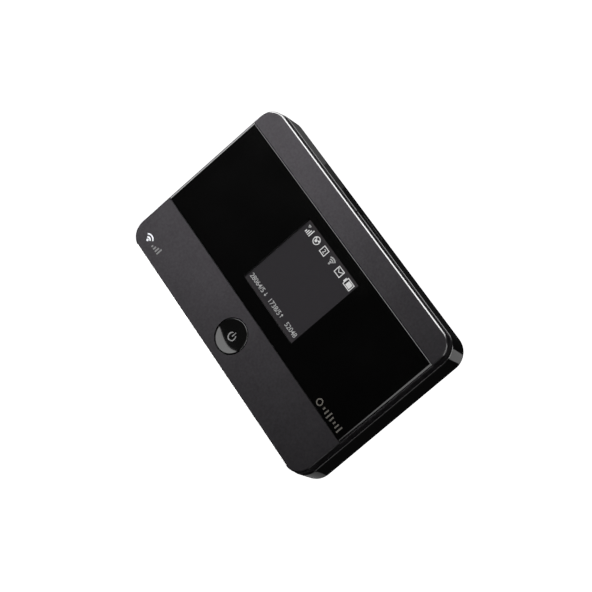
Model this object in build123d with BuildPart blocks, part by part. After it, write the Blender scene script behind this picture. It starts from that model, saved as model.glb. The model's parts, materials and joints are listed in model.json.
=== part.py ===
from build123d import *
import os

os.makedirs("parts", exist_ok=True)

# Pocket router, lying on its back: X runs along it, Y across it, Z out of the screen.
# The origin is the middle of the rear face. All sizes are in millimetres.

# Casing
length = 106.3
width = 65.7
height = 15.7
corner_radius = 6.5  # seen from above
front_depth = 3.8  # depth of the front shell, from the top down to the parting line
parting_gap = 0.15  # open line between the rear cover's rim and the front shell
front_inset = 0.3  # the front shell stands this far inside the rear cover's outline
front_chamfer = 0.7
front_plate = 1.3
skirt_wall = 2.0
cover_wall = 1.3
cover_floor = 1.2
foot_radius = 2.6
rim_radius = 0.3
cover_clearance = 0.2  # between the rear cover's wall and the chassis
floor_clearance = 0.3  # between the rear cover's floor and what lies over it

# Window and display
strip_narrow = 8.85  # matte strip between the window and the +Y edge
window_thickness = 1.1
window_gap = 0.12
window_bevel = 0.55
window_bevel_drop = 0.35
seam_chamfer = 0.12
end_rim = 0.35  # lip of the front shell past each end of the window
end_rim_drop = 0.5
seat_plate = 0.95  # shelf that the window is bonded to
seat_wall = 1.2
adhesive = 0.15
adhesive_margin = 0.3
display_x = 1.95
display_length = 33.4
display_high_margin = 1.5  # from the window's sides to the display module's
display_low_margin = 2.8
display_thickness = 1.9
view_length = 29.05
view_border = 2.625  # masked edge of the module, on its +Y and -Y sides
display_clearance = 0.2
bracket_sheet = 0.5
bracket_clearance = 0.1
flex_width = 8.0
flex_sheet = 0.12
flex_reach = 3.4
flex_bend = 0.6
flex_slot = 0.7
flex_connector_length = 3.0
flex_connector_height = 1.0

# Power button
power_x = 0.8
power_radius = 5.85
power_gap = 0.28
power_dish = 0.55  # depth of the hollow top
power_edge = 0.2
power_rim = 0.3  # from the button's side to the edge of the hollow
power_sink = 0.05  # the button's rim lies this far under the front face
power_flange = 0.9  # how far the flange reaches past the button
flange_skirt_gap = 0.3  # from the flange to the front shell's skirt
flange_seat_gap = 1.35  # from the flange to the wall under the window's side
flange_sheet = 0.5
flange_play = 0.1
stem_radius = 1.5
press_room = 0.4  # free travel between a button and its switch
glyph_radius = 1.55
glyph_stroke = 0.42
glyph_bar = 1.95
glyph_gap = 1.5
glyph_depth = 0.25

# Menu button, in the +Y side
menu_length = 10.8
menu_height = 4.5
menu_drop = 0.5  # from the parting line down to the button
menu_gap = 0.2
menu_recess = 0.1
menu_lip = 0.8  # flange past the button, inside the chassis wall
menu_flange_sheet = 0.65
menu_edge = 0.3
post_radius = 0.8
post_length = 0.6

# Chassis
chassis_wall = 1.2
chassis_end_wall = 1.6
chassis_foot = 1.2
rail = 7.15  # side rail, from the chassis's outer face to the bays
rail_skin = 1.2
bay_roof = 0.8
partition = 2.0
card_bay_length = 34.0
screw_x = (47.0, 20.0)
screw_inset = 3.75  # from the chassis's outer face to the screws' axis
screw_pocket_gap = 4.0
bead_length = 8.0
bead_height = 0.6
bead_proud = 0.13
bead_clearance = 0.2
bead_x = 26.0
bead_drop = 1.5
nail_slot_length = 12.0
nail_slot_height = 0.9
nail_slot_depth = 0.7

# Board and what stands on it
board_drop = 2.7  # from the parting line down to the board's top face
board_thickness = 1.0
board_edge_gap = 0.4
board_rest = 1.1  # how far the board lies on each rail
board_corner = 1.0
board_tab_length = 11.0
board_tab_reach = 3.3
can_height = 1.9
can_sheet = 0.25
chip_height = 0.9
pad_size = 18.0
switch_length = 5.2
switch_width = 3.6
switch_height = 1.5
switch_tip_radius = 1.2
switch_tip = 0.3
menu_switch_depth = 3.4
menu_switch_height = 2.0

# Charging socket, in the -X end
socket_width = 7.5
socket_height = 2.6
socket_depth = 5.5
socket_sheet = 0.3
socket_recess = 0.3
socket_clearance = 0.15
socket_corner = 0.6
bezel_margin = 1.8
bezel_drop = 0.5  # bezel below the board's top face
tongue_width = 4.2
tongue_height = 0.6
tongue_length = 4.0

# Battery and its contacts
battery_clearance = 0.4
battery_corner = 1.5
battery_edge = 0.8
label_sheet = 0.1
label_margin = 4.0
contact_count = 4
contact_pitch = 2.2
contact_width = 1.0
contact_height = 2.2
contact_proud = 0.3
pad_sheet = 0.1
connector_width = 10.0
connector_margin = 0.35

# Cards
sim_length = 25.0
sim_width = 15.0
sim_thickness = 0.76
sim_cut = 3.0
memory_length = 15.0
memory_width = 11.0
memory_thickness = 1.0
memory_cut = 1.4
card_side_gap = 0.15
card_face_gap = 0.07
holder_wall = 1.0
holder_sheet = 0.35
holder_roof_gap = 0.1
holder_edge_gap = 0.3
holder_spacing = 1.7
sim_holder_depth = 14.0
memory_holder_depth = 12.5
holder_clearance = 0.15
sim_contact_length = 2.2
sim_contact_width = 1.2
sim_contact_pitch = 2.54
sim_contact_row = 7.6
sim_contact_sheet = 0.2

# Reset switch, in the card bay
reset_x = 43.0
reset_y = -14.0
reset_size = 3.5
reset_drop = 1.3
reset_hole_radius = 0.9
reset_hole_depth = 0.9
reset_pin_radius = 0.8
reset_pin_proud = 0.7
reset_pin_seat = 0.5

# Aerials, pressed metal on the chassis walls
aerial_sheet = 0.25
aerial_leg_width = 1.5
aerial_leg_sheet = 0.15
aerial_leg_rest = 1.0
aerial_top_gap = 0.2

# Screws
screw_head_radius = 1.5
screw_head_height = 1.0
screw_shank_radius = 0.8
screw_socket_radius = 0.7
screw_socket_depth = 0.5
screw_sink = 0.9  # head below the chassis's underside
screw_tip_gap = 0.5
head_clearance = 0.2
shank_clearance = 0.1
thread_clearance = 0.05
boss_radius = 2.1

# Levels, from the top face down and from the rear cover's floor up
parting_z = height - front_depth
cover_top = parting_z - parting_gap
plate_under = height - front_plate
window_under = height - window_thickness
seat_top = window_under - adhesive
seat_under = seat_top - seat_plate
display_under = seat_top - display_thickness
bracket_under = display_under - bracket_sheet
board_top = parting_z - board_drop
board_under = board_top - board_thickness
roof_under = board_under - bay_roof
chassis_under = cover_floor + floor_clearance
can_top = board_top + can_height

# Half sizes of the nested outlines
half_length = length / 2
half_width = width / 2
front_half_length = half_length - front_inset
front_half_width = half_width - front_inset
front_corner = corner_radius - front_inset
chassis_offset = cover_wall + cover_clearance
chassis_half_length = half_length - chassis_offset
chassis_half_width = half_width - chassis_offset
chassis_corner = corner_radius - chassis_offset
well_half_length = chassis_half_length - chassis_wall
well_half_width = chassis_half_width - chassis_wall
well_corner = chassis_corner - chassis_wall
bay_half_length = chassis_half_length - chassis_end_wall
bay_half_width = chassis_half_width - rail
flange_radius = power_radius + power_flange
power_y = -front_half_width + skirt_wall + flange_skirt_gap + flange_radius
window_low = power_y + flange_radius + flange_seat_gap + seat_wall
window_high = front_half_width - strip_narrow
window_width = window_high - window_low
window_y = (window_high + window_low) / 2
display_high = window_high - display_high_margin
display_low = window_low + display_low_margin
display_width = display_high - display_low
display_y = (display_high + display_low) / 2
view_width = display_width - 2 * view_border
channel_half_length = front_half_length - end_rim
card_bay_start = bay_half_length - card_bay_length
battery_bay_end = card_bay_start - partition
screw_y = chassis_half_width - screw_inset
screw_places = [(x * side_x, screw_y * side_y) for x in screw_x for side_x in (-1, 1) for side_y in (-1, 1)]
board_half_length = well_half_length - board_edge_gap
board_half_width = bay_half_width + board_rest
holder_back = bay_half_width - holder_edge_gap
card_back = holder_back - holder_wall - holder_roof_gap
slot_top = roof_under - holder_roof_gap
sim_holder_width = sim_width + 2 * card_side_gap + 2 * holder_wall
memory_holder_width = memory_width + 2 * card_side_gap + 2 * holder_wall
memory_holder_x = bay_half_length - holder_edge_gap - memory_holder_width / 2
sim_holder_x = memory_holder_x - memory_holder_width / 2 - holder_spacing - sim_holder_width / 2
menu_top = parting_z - menu_drop
menu_low = menu_top - menu_height
bezel_width = socket_width + 2 * bezel_margin
bezel_low = board_top - bezel_drop
battery_low = chassis_under
battery_top = roof_under - floor_clearance
contact_z = (battery_low + battery_top) / 2
connector_low = contact_z - contact_height / 2 - connector_margin
dish_edge = power_radius - power_rim
dish_radius = (dish_edge**2 + power_dish**2) / (2 * power_dish)
power_top = height - power_sink
dish_bottom = power_top - power_dish


def block(x_low, x_high, y_low, y_high, z_low, z_high, mode=Mode.ADD):
    # A square-edged block between two corners.
    with Locations(((x_low + x_high) / 2, (y_low + y_high) / 2, (z_low + z_high) / 2)):
        Box(x_high - x_low, y_high - y_low, z_high - z_low, mode=mode)


def slab(half_x, half_y, radius, z_low, z_high, centre=(0, 0), mode=Mode.ADD):
    # A flat block with rounded corners, seen from above.
    with BuildSketch(Plane.XY.offset(z_low)) as outline:
        with Locations(centre):
            RectangleRounded(2 * half_x, 2 * half_y, radius)
    extrude(outline.sketch, amount=z_high - z_low, mode=mode)


def post(x, y, radius, z_low, z_high, mode=Mode.ADD):
    # An upright round post, or a hole.
    with Locations((x, y, (z_low + z_high) / 2)):
        Cylinder(radius, z_high - z_low, mode=mode)


def cut_dish():
    # The shallow hollow in the top of the power button. The sphere lies on its side, poles out of the way.
    with Locations((power_x, power_y, dish_bottom + dish_radius)):
        Sphere(dish_radius, rotation=(90, 0, 0), mode=Mode.SUBTRACT)


def glyph_outline(z):
    # A ring with a gap at +Y, and a bar that stands in the gap.
    ring_middle = glyph_radius - glyph_stroke / 2
    with BuildSketch(Plane.XY.offset(z)) as outline:
        with Locations((power_x, power_y)):
            Circle(glyph_radius)
            Circle(glyph_radius - glyph_stroke, mode=Mode.SUBTRACT)
        with Locations((power_x, power_y + ring_middle)):
            Rectangle(glyph_gap, 2 * glyph_stroke, mode=Mode.SUBTRACT)
        with Locations((power_x, power_y + glyph_bar / 2)):
            SlotOverall(glyph_bar, glyph_stroke, rotation=90)
    return outline.sketch


# Front shell: matte plate with a skirt, a channel for the window, and the screw bosses
cavity_inset = front_inset + skirt_wall
with BuildPart() as front_shell:
    slab(front_half_length, front_half_width, front_corner, parting_z, height)
    chamfer(front_shell.faces().sort_by(Axis.Z)[-1].edges(), front_chamfer)
    slab(
        half_length - cavity_inset,
        half_width - cavity_inset,
        corner_radius - cavity_inset,
        parting_z,
        seat_under,
        mode=Mode.SUBTRACT,
    )
    with BuildSketch(Plane.XY.offset(seat_under)):
        RectangleRounded(
            2 * (half_length - cavity_inset),
            2 * (half_width - cavity_inset),
            corner_radius - cavity_inset,
        )
        with Locations((0, window_y)):
            Rectangle(length, window_width + 2 * seat_wall, mode=Mode.SUBTRACT)
    extrude(amount=plate_under - seat_under, mode=Mode.SUBTRACT)
    for x, y in screw_places:
        post(x, y, boss_radius, board_under, plate_under)
        post(x, y, screw_shank_radius + thread_clearance, board_under, seat_under, mode=Mode.SUBTRACT)
    block(
        -channel_half_length,
        channel_half_length,
        window_low,
        window_high,
        seat_top,
        height,
        mode=Mode.SUBTRACT,
    )
    block(
        -half_length,
        half_length,
        window_low,
        window_high,
        height - end_rim_drop,
        height,
        mode=Mode.SUBTRACT,
    )
    top_lines = front_shell.edges().filter_by(Axis.X).group_by(Axis.Z)[-1]
    seams = top_lines.filter_by(lambda edge: window_low - 0.01 < edge.center().Y < window_high + 0.01)
    chamfer(seams, seam_chamfer)
    slab(
        display_length / 2 + display_clearance,
        display_width / 2 + display_clearance,
        board_corner,
        seat_under,
        seat_top,
        centre=(display_x, display_y),
        mode=Mode.SUBTRACT,
    )
    post(power_x, power_y, power_radius + power_gap, plate_under, height, mode=Mode.SUBTRACT)
front_shell.part.label = "front_shell"
export_step(front_shell.part, "parts/front_shell.step")

# Window: gloss clear plate with bevelled ends
window_half_length = channel_half_length - window_gap
with BuildPart() as window_panel:
    block(
        -window_half_length,
        window_half_length,
        window_low + window_gap,
        window_high - window_gap,
        window_under,
        height,
    )
    top_edges = window_panel.faces().sort_by(Axis.Z)[-1].edges()
    chamfer(top_edges.filter_by(Axis.X), seam_chamfer)
    top_face = window_panel.faces().sort_by(Axis.Z)[-1]
    chamfer(top_face.edges().filter_by(Axis.Y), window_bevel_drop, window_bevel, reference=top_face)
window_panel.part.label = "window_panel"
export_step(window_panel.part, "parts/window_panel.step")

# Black adhesive frame that bonds the window and masks the display's border
with BuildPart() as window_adhesive:
    block(
        -window_half_length + adhesive_margin,
        window_half_length - adhesive_margin,
        window_low + window_gap + adhesive_margin,
        window_high - window_gap - adhesive_margin,
        seat_top,
        window_under,
    )
    with Locations((display_x, display_y, seat_top + adhesive / 2)):
        Box(view_length, view_width, adhesive, mode=Mode.SUBTRACT)
window_adhesive.part.label = "window_adhesive"
export_step(window_adhesive.part, "parts/window_adhesive.step")

# Display module
with BuildPart() as display_panel:
    slab(
        display_length / 2,
        display_width / 2,
        board_corner,
        display_under,
        seat_top,
        centre=(display_x, display_y),
    )
display_panel.part.label = "display_panel"
export_step(display_panel.part, "parts/display_panel.step")

# Sheet metal tray that carries the display against the seat shelf
bracket_half_x = display_length / 2 + bracket_clearance + bracket_sheet
bracket_half_y = display_width / 2 + bracket_clearance + bracket_sheet
flex_z = (display_under + seat_under) / 2
with BuildPart() as display_frame:
    slab(
        bracket_half_x,
        bracket_half_y,
        board_corner + bracket_sheet,
        bracket_under,
        seat_under,
        centre=(display_x, display_y),
    )
    slab(
        bracket_half_x - bracket_sheet,
        bracket_half_y - bracket_sheet,
        board_corner,
        display_under,
        seat_under,
        centre=(display_x, display_y),
        mode=Mode.SUBTRACT,
    )
    with Locations((display_x + bracket_half_x, display_y, flex_z)):
        Box(4 * bracket_sheet, flex_width + 2 * flex_slot, flex_slot, mode=Mode.SUBTRACT)
display_frame.part.label = "display_frame"
export_step(display_frame.part, "parts/display_frame.step")

# Ribbon from the display's edge down to the board
flex_start = display_x + display_length / 2
flex_end = flex_start + flex_reach
flex_low = board_top + flex_connector_height + flex_sheet / 2
with BuildPart() as display_flex:
    with BuildSketch(Plane.XZ.offset(-display_y)):
        with BuildLine():
            FilletPolyline(
                (flex_start, flex_z),
                (flex_end, flex_z),
                (flex_end, flex_low),
                (flex_end - flex_connector_length, flex_low),
                radius=flex_bend,
            )
        trace(line_width=flex_sheet)
    extrude(amount=flex_width / 2, both=True)
display_flex.part.label = "display_flex"
export_step(display_flex.part, "parts/display_flex.step")

with BuildPart() as flex_connector:
    block(
        flex_end - flex_bend - flex_connector_length,
        flex_end - flex_bend,
        display_y - flex_width / 2 - flex_slot,
        display_y + flex_width / 2 + flex_slot,
        board_top,
        board_top + flex_connector_height,
    )
flex_connector.part.label = "flex_connector"
export_step(flex_connector.part, "parts/flex_connector.step")

# Power button: dished disc with a flange under the plate and a stem down to its switch
switch_top = board_top + switch_height
stem_low = switch_top + switch_tip + press_room
flange_top = plate_under - flange_play
with BuildPart() as power_button:
    post(power_x, power_y, power_radius, flange_top, power_top)
    fillet(power_button.edges().group_by(Axis.Z)[-1], power_edge)
    post(power_x, power_y, flange_radius, flange_top - flange_sheet, flange_top)
    post(power_x, power_y, stem_radius, stem_low, flange_top - flange_sheet)
    cut_dish()
    extrude(glyph_outline(dish_bottom - glyph_depth), amount=2 * glyph_depth + power_dish, mode=Mode.SUBTRACT)
power_button.part.label = "power_button"
export_step(power_button.part, "parts/power_button.step")

# Light ring-and-bar inlay, flush with the dish
with BuildPart() as power_glyph:
    extrude(glyph_outline(dish_bottom - glyph_depth), amount=2 * glyph_depth + power_dish)
    cut_dish()
power_glyph.part.label = "power_glyph"
export_step(power_glyph.part, "parts/power_glyph.step")

with BuildPart() as power_switch:
    block(
        power_x - switch_length / 2,
        power_x + switch_length / 2,
        power_y - switch_width / 2,
        power_y + switch_width / 2,
        board_top,
        switch_top,
    )
    post(power_x, power_y, switch_tip_radius, switch_top, switch_top + switch_tip)
power_switch.part.label = "power_switch"
export_step(power_switch.part, "parts/power_switch.step")

# Menu button: side key with a flange behind the chassis wall and a post to its switch
menu_flange_out = well_half_width - flange_play
menu_flange_in = menu_flange_out - menu_flange_sheet
menu_post_in = menu_flange_in - post_length
with BuildPart() as menu_button:
    block(
        -menu_length / 2,
        menu_length / 2,
        menu_flange_out,
        half_width - menu_recess,
        menu_low,
        menu_top,
    )
    fillet(menu_button.faces().sort_by(Axis.Y)[-1].edges(), menu_edge)
    block(
        -menu_length / 2 - menu_lip,
        menu_length / 2 + menu_lip,
        menu_flange_in,
        menu_flange_out,
        menu_low - menu_lip,
        menu_top + menu_lip / 4,
    )
    with Locations(Plane((0, menu_flange_in, board_top + menu_switch_height / 2), z_dir=(0, -1, 0))):
        Cylinder(post_radius, post_length, align=(Align.CENTER, Align.CENTER, Align.MIN))
menu_button.part.label = "menu_button"
export_step(menu_button.part, "parts/menu_button.step")

menu_switch_front = menu_post_in - press_room
with BuildPart() as menu_switch:
    block(
        -switch_length / 2,
        switch_length / 2,
        menu_switch_front - menu_switch_depth,
        menu_switch_front,
        board_top,
        board_top + menu_switch_height,
    )
menu_switch.part.label = "menu_switch"
export_step(menu_switch.part, "parts/menu_switch.step")

# Chassis: inner frame with the battery bay and the card bay in its underside,
# the board's well in its top, hollow rails, and the bezel of the charging socket
pocket_ends = (screw_x[0] - screw_pocket_gap, screw_x[1] + screw_pocket_gap, screw_x[1] - screw_pocket_gap)
rail_pockets = (
    (-pocket_ends[0], -pocket_ends[1]),
    (-pocket_ends[2], pocket_ends[2]),
    (pocket_ends[1], pocket_ends[0]),
)
holder_openings = (
    (sim_holder_x, sim_holder_width, sim_holder_depth),
    (memory_holder_x, memory_holder_width, memory_holder_depth),
)
with BuildPart() as chassis:
    slab(chassis_half_length, chassis_half_width, chassis_corner, chassis_under, parting_z)
    fillet(chassis.faces().sort_by(Axis.Z)[0].edges(), chassis_foot)
    block(
        -half_length + socket_recess / 2,
        -chassis_half_length + chassis_foot,
        -bezel_width / 2,
        bezel_width / 2,
        bezel_low,
        cover_top,
    )
    for side in (-1, 1):
        for low, high in rail_pockets:
            with Locations(((low + high) / 2, side * (bay_half_width + rail / 2), board_under)):
                Box(
                    high - low,
                    rail - 2 * rail_skin,
                    board_under - chassis_under - rail_skin,
                    align=(Align.CENTER, Align.CENTER, Align.MAX),
                    mode=Mode.SUBTRACT,
                )
        with Locations((side * bead_x, 0, parting_z - bead_drop)):
            Box(bead_length, 2 * (chassis_half_width + bead_proud), bead_height)
    slab(well_half_length, well_half_width, well_corner, board_under, parting_z, mode=Mode.SUBTRACT)
    block(
        -bay_half_length,
        battery_bay_end,
        -bay_half_width,
        bay_half_width,
        chassis_under,
        roof_under,
        mode=Mode.SUBTRACT,
    )
    block(
        card_bay_start,
        bay_half_length,
        -bay_half_width,
        bay_half_width,
        chassis_under,
        roof_under,
        mode=Mode.SUBTRACT,
    )
    block(
        battery_bay_end,
        card_bay_start,
        -connector_width / 2 - holder_clearance,
        connector_width / 2 + holder_clearance,
        connector_low - holder_clearance,
        board_under,
        mode=Mode.SUBTRACT,
    )
    for holder_x, holder_width, holder_depth in holder_openings:
        block(
            holder_x - holder_width / 2 - holder_clearance,
            holder_x + holder_width / 2 + holder_clearance,
            holder_back - holder_depth - holder_clearance,
            holder_back + holder_clearance,
            roof_under,
            board_under,
            mode=Mode.SUBTRACT,
        )
    with Locations((reset_x, reset_y, (roof_under + board_under) / 2)):
        Box(
            reset_size + 2 * holder_clearance,
            reset_size + 2 * holder_clearance,
            bay_roof,
            mode=Mode.SUBTRACT,
        )
    for x, y in screw_places:
        head_top = chassis_under + screw_sink + screw_head_height
        post(x, y, screw_head_radius + head_clearance, chassis_under, head_top, mode=Mode.SUBTRACT)
        post(x, y, screw_shank_radius + shank_clearance, head_top, board_under, mode=Mode.SUBTRACT)
    block(
        -half_length,
        -well_half_length,
        -socket_width / 2 - socket_clearance,
        socket_width / 2 + socket_clearance,
        board_top - socket_clearance,
        board_top + socket_height + socket_clearance / 3,
        mode=Mode.SUBTRACT,
    )
    block(
        -menu_length / 2 - menu_gap,
        menu_length / 2 + menu_gap,
        well_half_width - rail_skin,
        half_width,
        menu_low - menu_gap,
        menu_top + menu_gap,
        mode=Mode.SUBTRACT,
    )
chassis.part.label = "chassis"
export_step(chassis.part, "parts/chassis.step")

# Circuit board, with a tab under the menu switch
with BuildPart() as main_board:
    slab(board_half_length, board_half_width, board_corner, board_under, board_top)
    block(
        -board_tab_length / 2,
        board_tab_length / 2,
        board_half_width - board_corner,
        board_half_width + board_tab_reach,
        board_under,
        board_top,
    )
main_board.part.label = "main_board"
export_step(main_board.part, "parts/main_board.step")

# Metal cans over the chips: name, middle along X, length, inset from the board's +Y edge,
# and gap to the level of the power switch's +Y side
cans = (
    ("modem", -8.0, 34.0, 6.3, 10.7),
    ("radio", 35.0, 20.0, 5.3, 17.7),
    ("supply", -37.0, 18.0, 13.0, 10.0),
)
chip_margin = 4.0
for can_name, can_x, can_length, can_inset, can_gap in cans:
    can_high = board_half_width - can_inset
    can_low = power_y + switch_width / 2 + can_gap
    can_width = can_high - can_low
    can_y = (can_high + can_low) / 2
    with BuildPart() as shield:
        slab(can_length / 2, can_width / 2, board_corner, board_top, can_top, centre=(can_x, can_y))
        slab(
            can_length / 2 - can_sheet,
            can_width / 2 - can_sheet,
            board_corner - can_sheet,
            board_top,
            can_top - can_sheet,
            centre=(can_x, can_y),
            mode=Mode.SUBTRACT,
        )
    shield.part.label = can_name + "_shield"
    export_step(shield.part, "parts/" + can_name + "_shield.step")
    with BuildPart() as chip:
        with Locations((can_x, can_y, board_top + chip_height / 2)):
            Box(can_length - 2 * chip_margin, can_width - 2 * chip_margin, chip_height)
    chip.part.label = can_name + "_chip"
    export_step(chip.part, "parts/" + can_name + "_chip.step")

with BuildPart() as thermal_pad:
    slab(
        pad_size / 2,
        pad_size / 2,
        board_corner,
        can_top,
        bracket_under,
        centre=(display_x - bracket_half_x + pad_size / 2 + board_corner, display_y),
    )
thermal_pad.part.label = "thermal_pad"
export_step(thermal_pad.part, "parts/thermal_pad.step")

# Charging socket: pressed shell and the tongue inside it
socket_mouth = -half_length + socket_recess
socket_back = socket_mouth + socket_depth
socket_z = board_top + socket_height / 2
with BuildPart() as usb_socket:
    with BuildSketch(Plane.YZ.offset(socket_mouth)):
        with Locations((0, socket_z)):
            RectangleRounded(socket_width, socket_height, socket_corner)
    extrude(amount=socket_depth)
    with BuildSketch(Plane.YZ.offset(socket_mouth)):
        with Locations((0, socket_z)):
            RectangleRounded(
                socket_width - 2 * socket_sheet,
                socket_height - 2 * socket_sheet,
                socket_corner - socket_sheet,
            )
    extrude(amount=socket_depth - 2 * socket_sheet, mode=Mode.SUBTRACT)
usb_socket.part.label = "usb_socket"
export_step(usb_socket.part, "parts/usb_socket.step")

tongue_back = socket_back - 2 * socket_sheet
with BuildPart() as usb_tongue:
    block(
        tongue_back - tongue_length,
        tongue_back,
        -tongue_width / 2,
        tongue_width / 2,
        socket_z,
        socket_z + tongue_height,
    )
usb_tongue.part.label = "usb_tongue"
export_step(usb_tongue.part, "parts/usb_tongue.step")

# Battery, with its label and its contact pads
battery_x_low = -bay_half_length + battery_clearance
battery_x_high = battery_bay_end - battery_clearance
battery_half_width = bay_half_width - battery_clearance
contact_ys = [(place - (contact_count - 1) / 2) * contact_pitch for place in range(contact_count)]
with BuildPart() as battery_pack:
    with BuildSketch(Plane.XY.offset(battery_low)):
        with Locations(((battery_x_low + battery_x_high) / 2, 0)):
            RectangleRounded(battery_x_high - battery_x_low, 2 * battery_half_width, battery_corner)
    extrude(amount=battery_top - battery_low)
    fillet(battery_pack.edges().group_by(Axis.Z)[-1] + battery_pack.edges().group_by(Axis.Z)[0], battery_edge)
    for y in contact_ys:
        with Locations((battery_x_high, y, contact_z)):
            Box(2 * pad_sheet, contact_width * 1.4, contact_height, mode=Mode.SUBTRACT)
battery_pack.part.label = "battery_pack"
export_step(battery_pack.part, "parts/battery_pack.step")

with BuildPart() as battery_label:
    with BuildSketch(Plane.XY.offset(battery_low - label_sheet)):
        with Locations(((battery_x_low + battery_x_high) / 2, 0)):
            RectangleRounded(
                battery_x_high - battery_x_low - 2 * label_margin,
                2 * (battery_half_width - label_margin),
                battery_corner,
            )
    extrude(amount=label_sheet)
battery_label.part.label = "battery_label"
export_step(battery_label.part, "parts/battery_label.step")

with BuildPart() as battery_pads:
    for y in contact_ys:
        with Locations((battery_x_high - pad_sheet / 2, y, contact_z)):
            Box(pad_sheet, contact_width * 1.4, contact_height)
battery_pads.part.label = "battery_pads"
export_step(battery_pads.part, "parts/battery_pads.step")

# Spring contacts that meet the pads, and the block that carries them through the partition
with BuildPart() as battery_connector:
    block(
        battery_bay_end,
        card_bay_start,
        -connector_width / 2,
        connector_width / 2,
        connector_low,
        board_under,
    )
battery_connector.part.label = "battery_connector"
export_step(battery_connector.part, "parts/battery_connector.step")

with BuildPart() as battery_springs:
    for y in contact_ys:
        with Locations((battery_bay_end - contact_proud / 2, y, contact_z)):
            Box(contact_proud, contact_width, contact_height)
battery_springs.part.label = "battery_springs"
export_step(battery_springs.part, "parts/battery_springs.step")

# Card holders, hung from the board through the bay's roof, and the cards in them
contact_places = [
    (sim_holder_x + side * sim_contact_row / 2, holder_back - sim_holder_depth / 2 + row * sim_contact_pitch)
    for side in (-1, 1)
    for row in (-1, 0, 1)
]
sim_slot_low = slot_top - sim_thickness - 2 * card_face_gap
with BuildPart() as sim_holder:
    block(
        sim_holder_x - sim_holder_width / 2,
        sim_holder_x + sim_holder_width / 2,
        holder_back - sim_holder_depth,
        holder_back,
        sim_slot_low - holder_sheet,
        board_under,
    )
    block(
        sim_holder_x - sim_holder_width / 2 + holder_wall,
        sim_holder_x + sim_holder_width / 2 - holder_wall,
        holder_back - sim_holder_depth,
        holder_back - holder_wall,
        sim_slot_low,
        slot_top,
        mode=Mode.SUBTRACT,
    )
    for x, y in contact_places:
        with Locations((x, y, slot_top + sim_contact_sheet / 2)):
            Box(sim_contact_width, sim_contact_length, sim_contact_sheet, mode=Mode.SUBTRACT)
sim_holder.part.label = "sim_holder"
export_step(sim_holder.part, "parts/sim_holder.step")

with BuildPart() as sim_contacts:
    for x, y in contact_places:
        with Locations((x, y, slot_top + sim_contact_sheet / 2)):
            Box(sim_contact_width, sim_contact_length, sim_contact_sheet)
sim_contacts.part.label = "sim_contacts"
export_step(sim_contacts.part, "parts/sim_contacts.step")

with BuildPart() as sim_card:
    block(
        sim_holder_x - sim_width / 2,
        sim_holder_x + sim_width / 2,
        card_back - sim_length,
        card_back,
        sim_slot_low + card_face_gap,
        slot_top - card_face_gap,
    )
    uprights = sim_card.edges().filter_by(Axis.Z)
    chamfer(uprights.sort_by(Axis.Y)[-2:].sort_by(Axis.X)[-1:], sim_cut)
sim_card.part.label = "sim_card"
export_step(sim_card.part, "parts/sim_card.step")

memory_slot_low = slot_top - memory_thickness - 2 * card_face_gap
with BuildPart() as memory_holder:
    block(
        memory_holder_x - memory_holder_width / 2,
        memory_holder_x + memory_holder_width / 2,
        holder_back - memory_holder_depth,
        holder_back,
        memory_slot_low - holder_sheet,
        board_under,
    )
    block(
        memory_holder_x - memory_holder_width / 2 + holder_wall,
        memory_holder_x + memory_holder_width / 2 - holder_wall,
        holder_back - memory_holder_depth,
        holder_back - holder_wall,
        memory_slot_low,
        slot_top,
        mode=Mode.SUBTRACT,
    )
memory_holder.part.label = "memory_holder"
export_step(memory_holder.part, "parts/memory_holder.step")

with BuildPart() as memory_card:
    block(
        memory_holder_x - memory_width / 2,
        memory_holder_x + memory_width / 2,
        card_back - memory_length,
        card_back,
        memory_slot_low + card_face_gap,
        slot_top - card_face_gap,
    )
    uprights = memory_card.edges().filter_by(Axis.Z)
    chamfer(uprights.sort_by(Axis.Y)[-2:].sort_by(Axis.X)[:1], memory_cut)
memory_card.part.label = "memory_card"
export_step(memory_card.part, "parts/memory_card.step")

# Reset switch under the board, and its pin
with BuildPart() as reset_switch:
    block(
        reset_x - reset_size / 2,
        reset_x + reset_size / 2,
        reset_y - reset_size / 2,
        reset_y + reset_size / 2,
        board_under - reset_drop,
        board_under,
    )
    post(
        reset_x,
        reset_y,
        reset_hole_radius,
        board_under - reset_drop,
        board_under - reset_drop + reset_hole_depth,
        mode=Mode.SUBTRACT,
    )
reset_switch.part.label = "reset_switch"
export_step(reset_switch.part, "parts/reset_switch.step")

with BuildPart() as reset_button:
    post(
        reset_x,
        reset_y,
        reset_pin_radius,
        board_under - reset_drop - reset_pin_proud,
        board_under - reset_drop + reset_pin_seat,
    )
reset_button.part.label = "reset_button"
export_step(reset_button.part, "parts/reset_button.step")

# Aerials: strips on the inner walls, with two legs each that lie on the board
aerial_low = board_top
aerial_high = parting_z - aerial_top_gap
main_aerial_half = 20.0
main_leg_ys = (-14.0, -9.0)
with BuildPart() as main_antenna:
    block(
        well_half_length - aerial_sheet,
        well_half_length,
        -main_aerial_half,
        main_aerial_half,
        aerial_low,
        aerial_high,
    )
    for y in main_leg_ys:
        block(
            board_half_length - aerial_leg_rest,
            well_half_length - aerial_sheet,
            y - aerial_leg_width / 2,
            y + aerial_leg_width / 2,
            board_top,
            board_top + aerial_leg_sheet,
        )
main_antenna.part.label = "main_antenna"
export_step(main_antenna.part, "parts/main_antenna.step")

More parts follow.
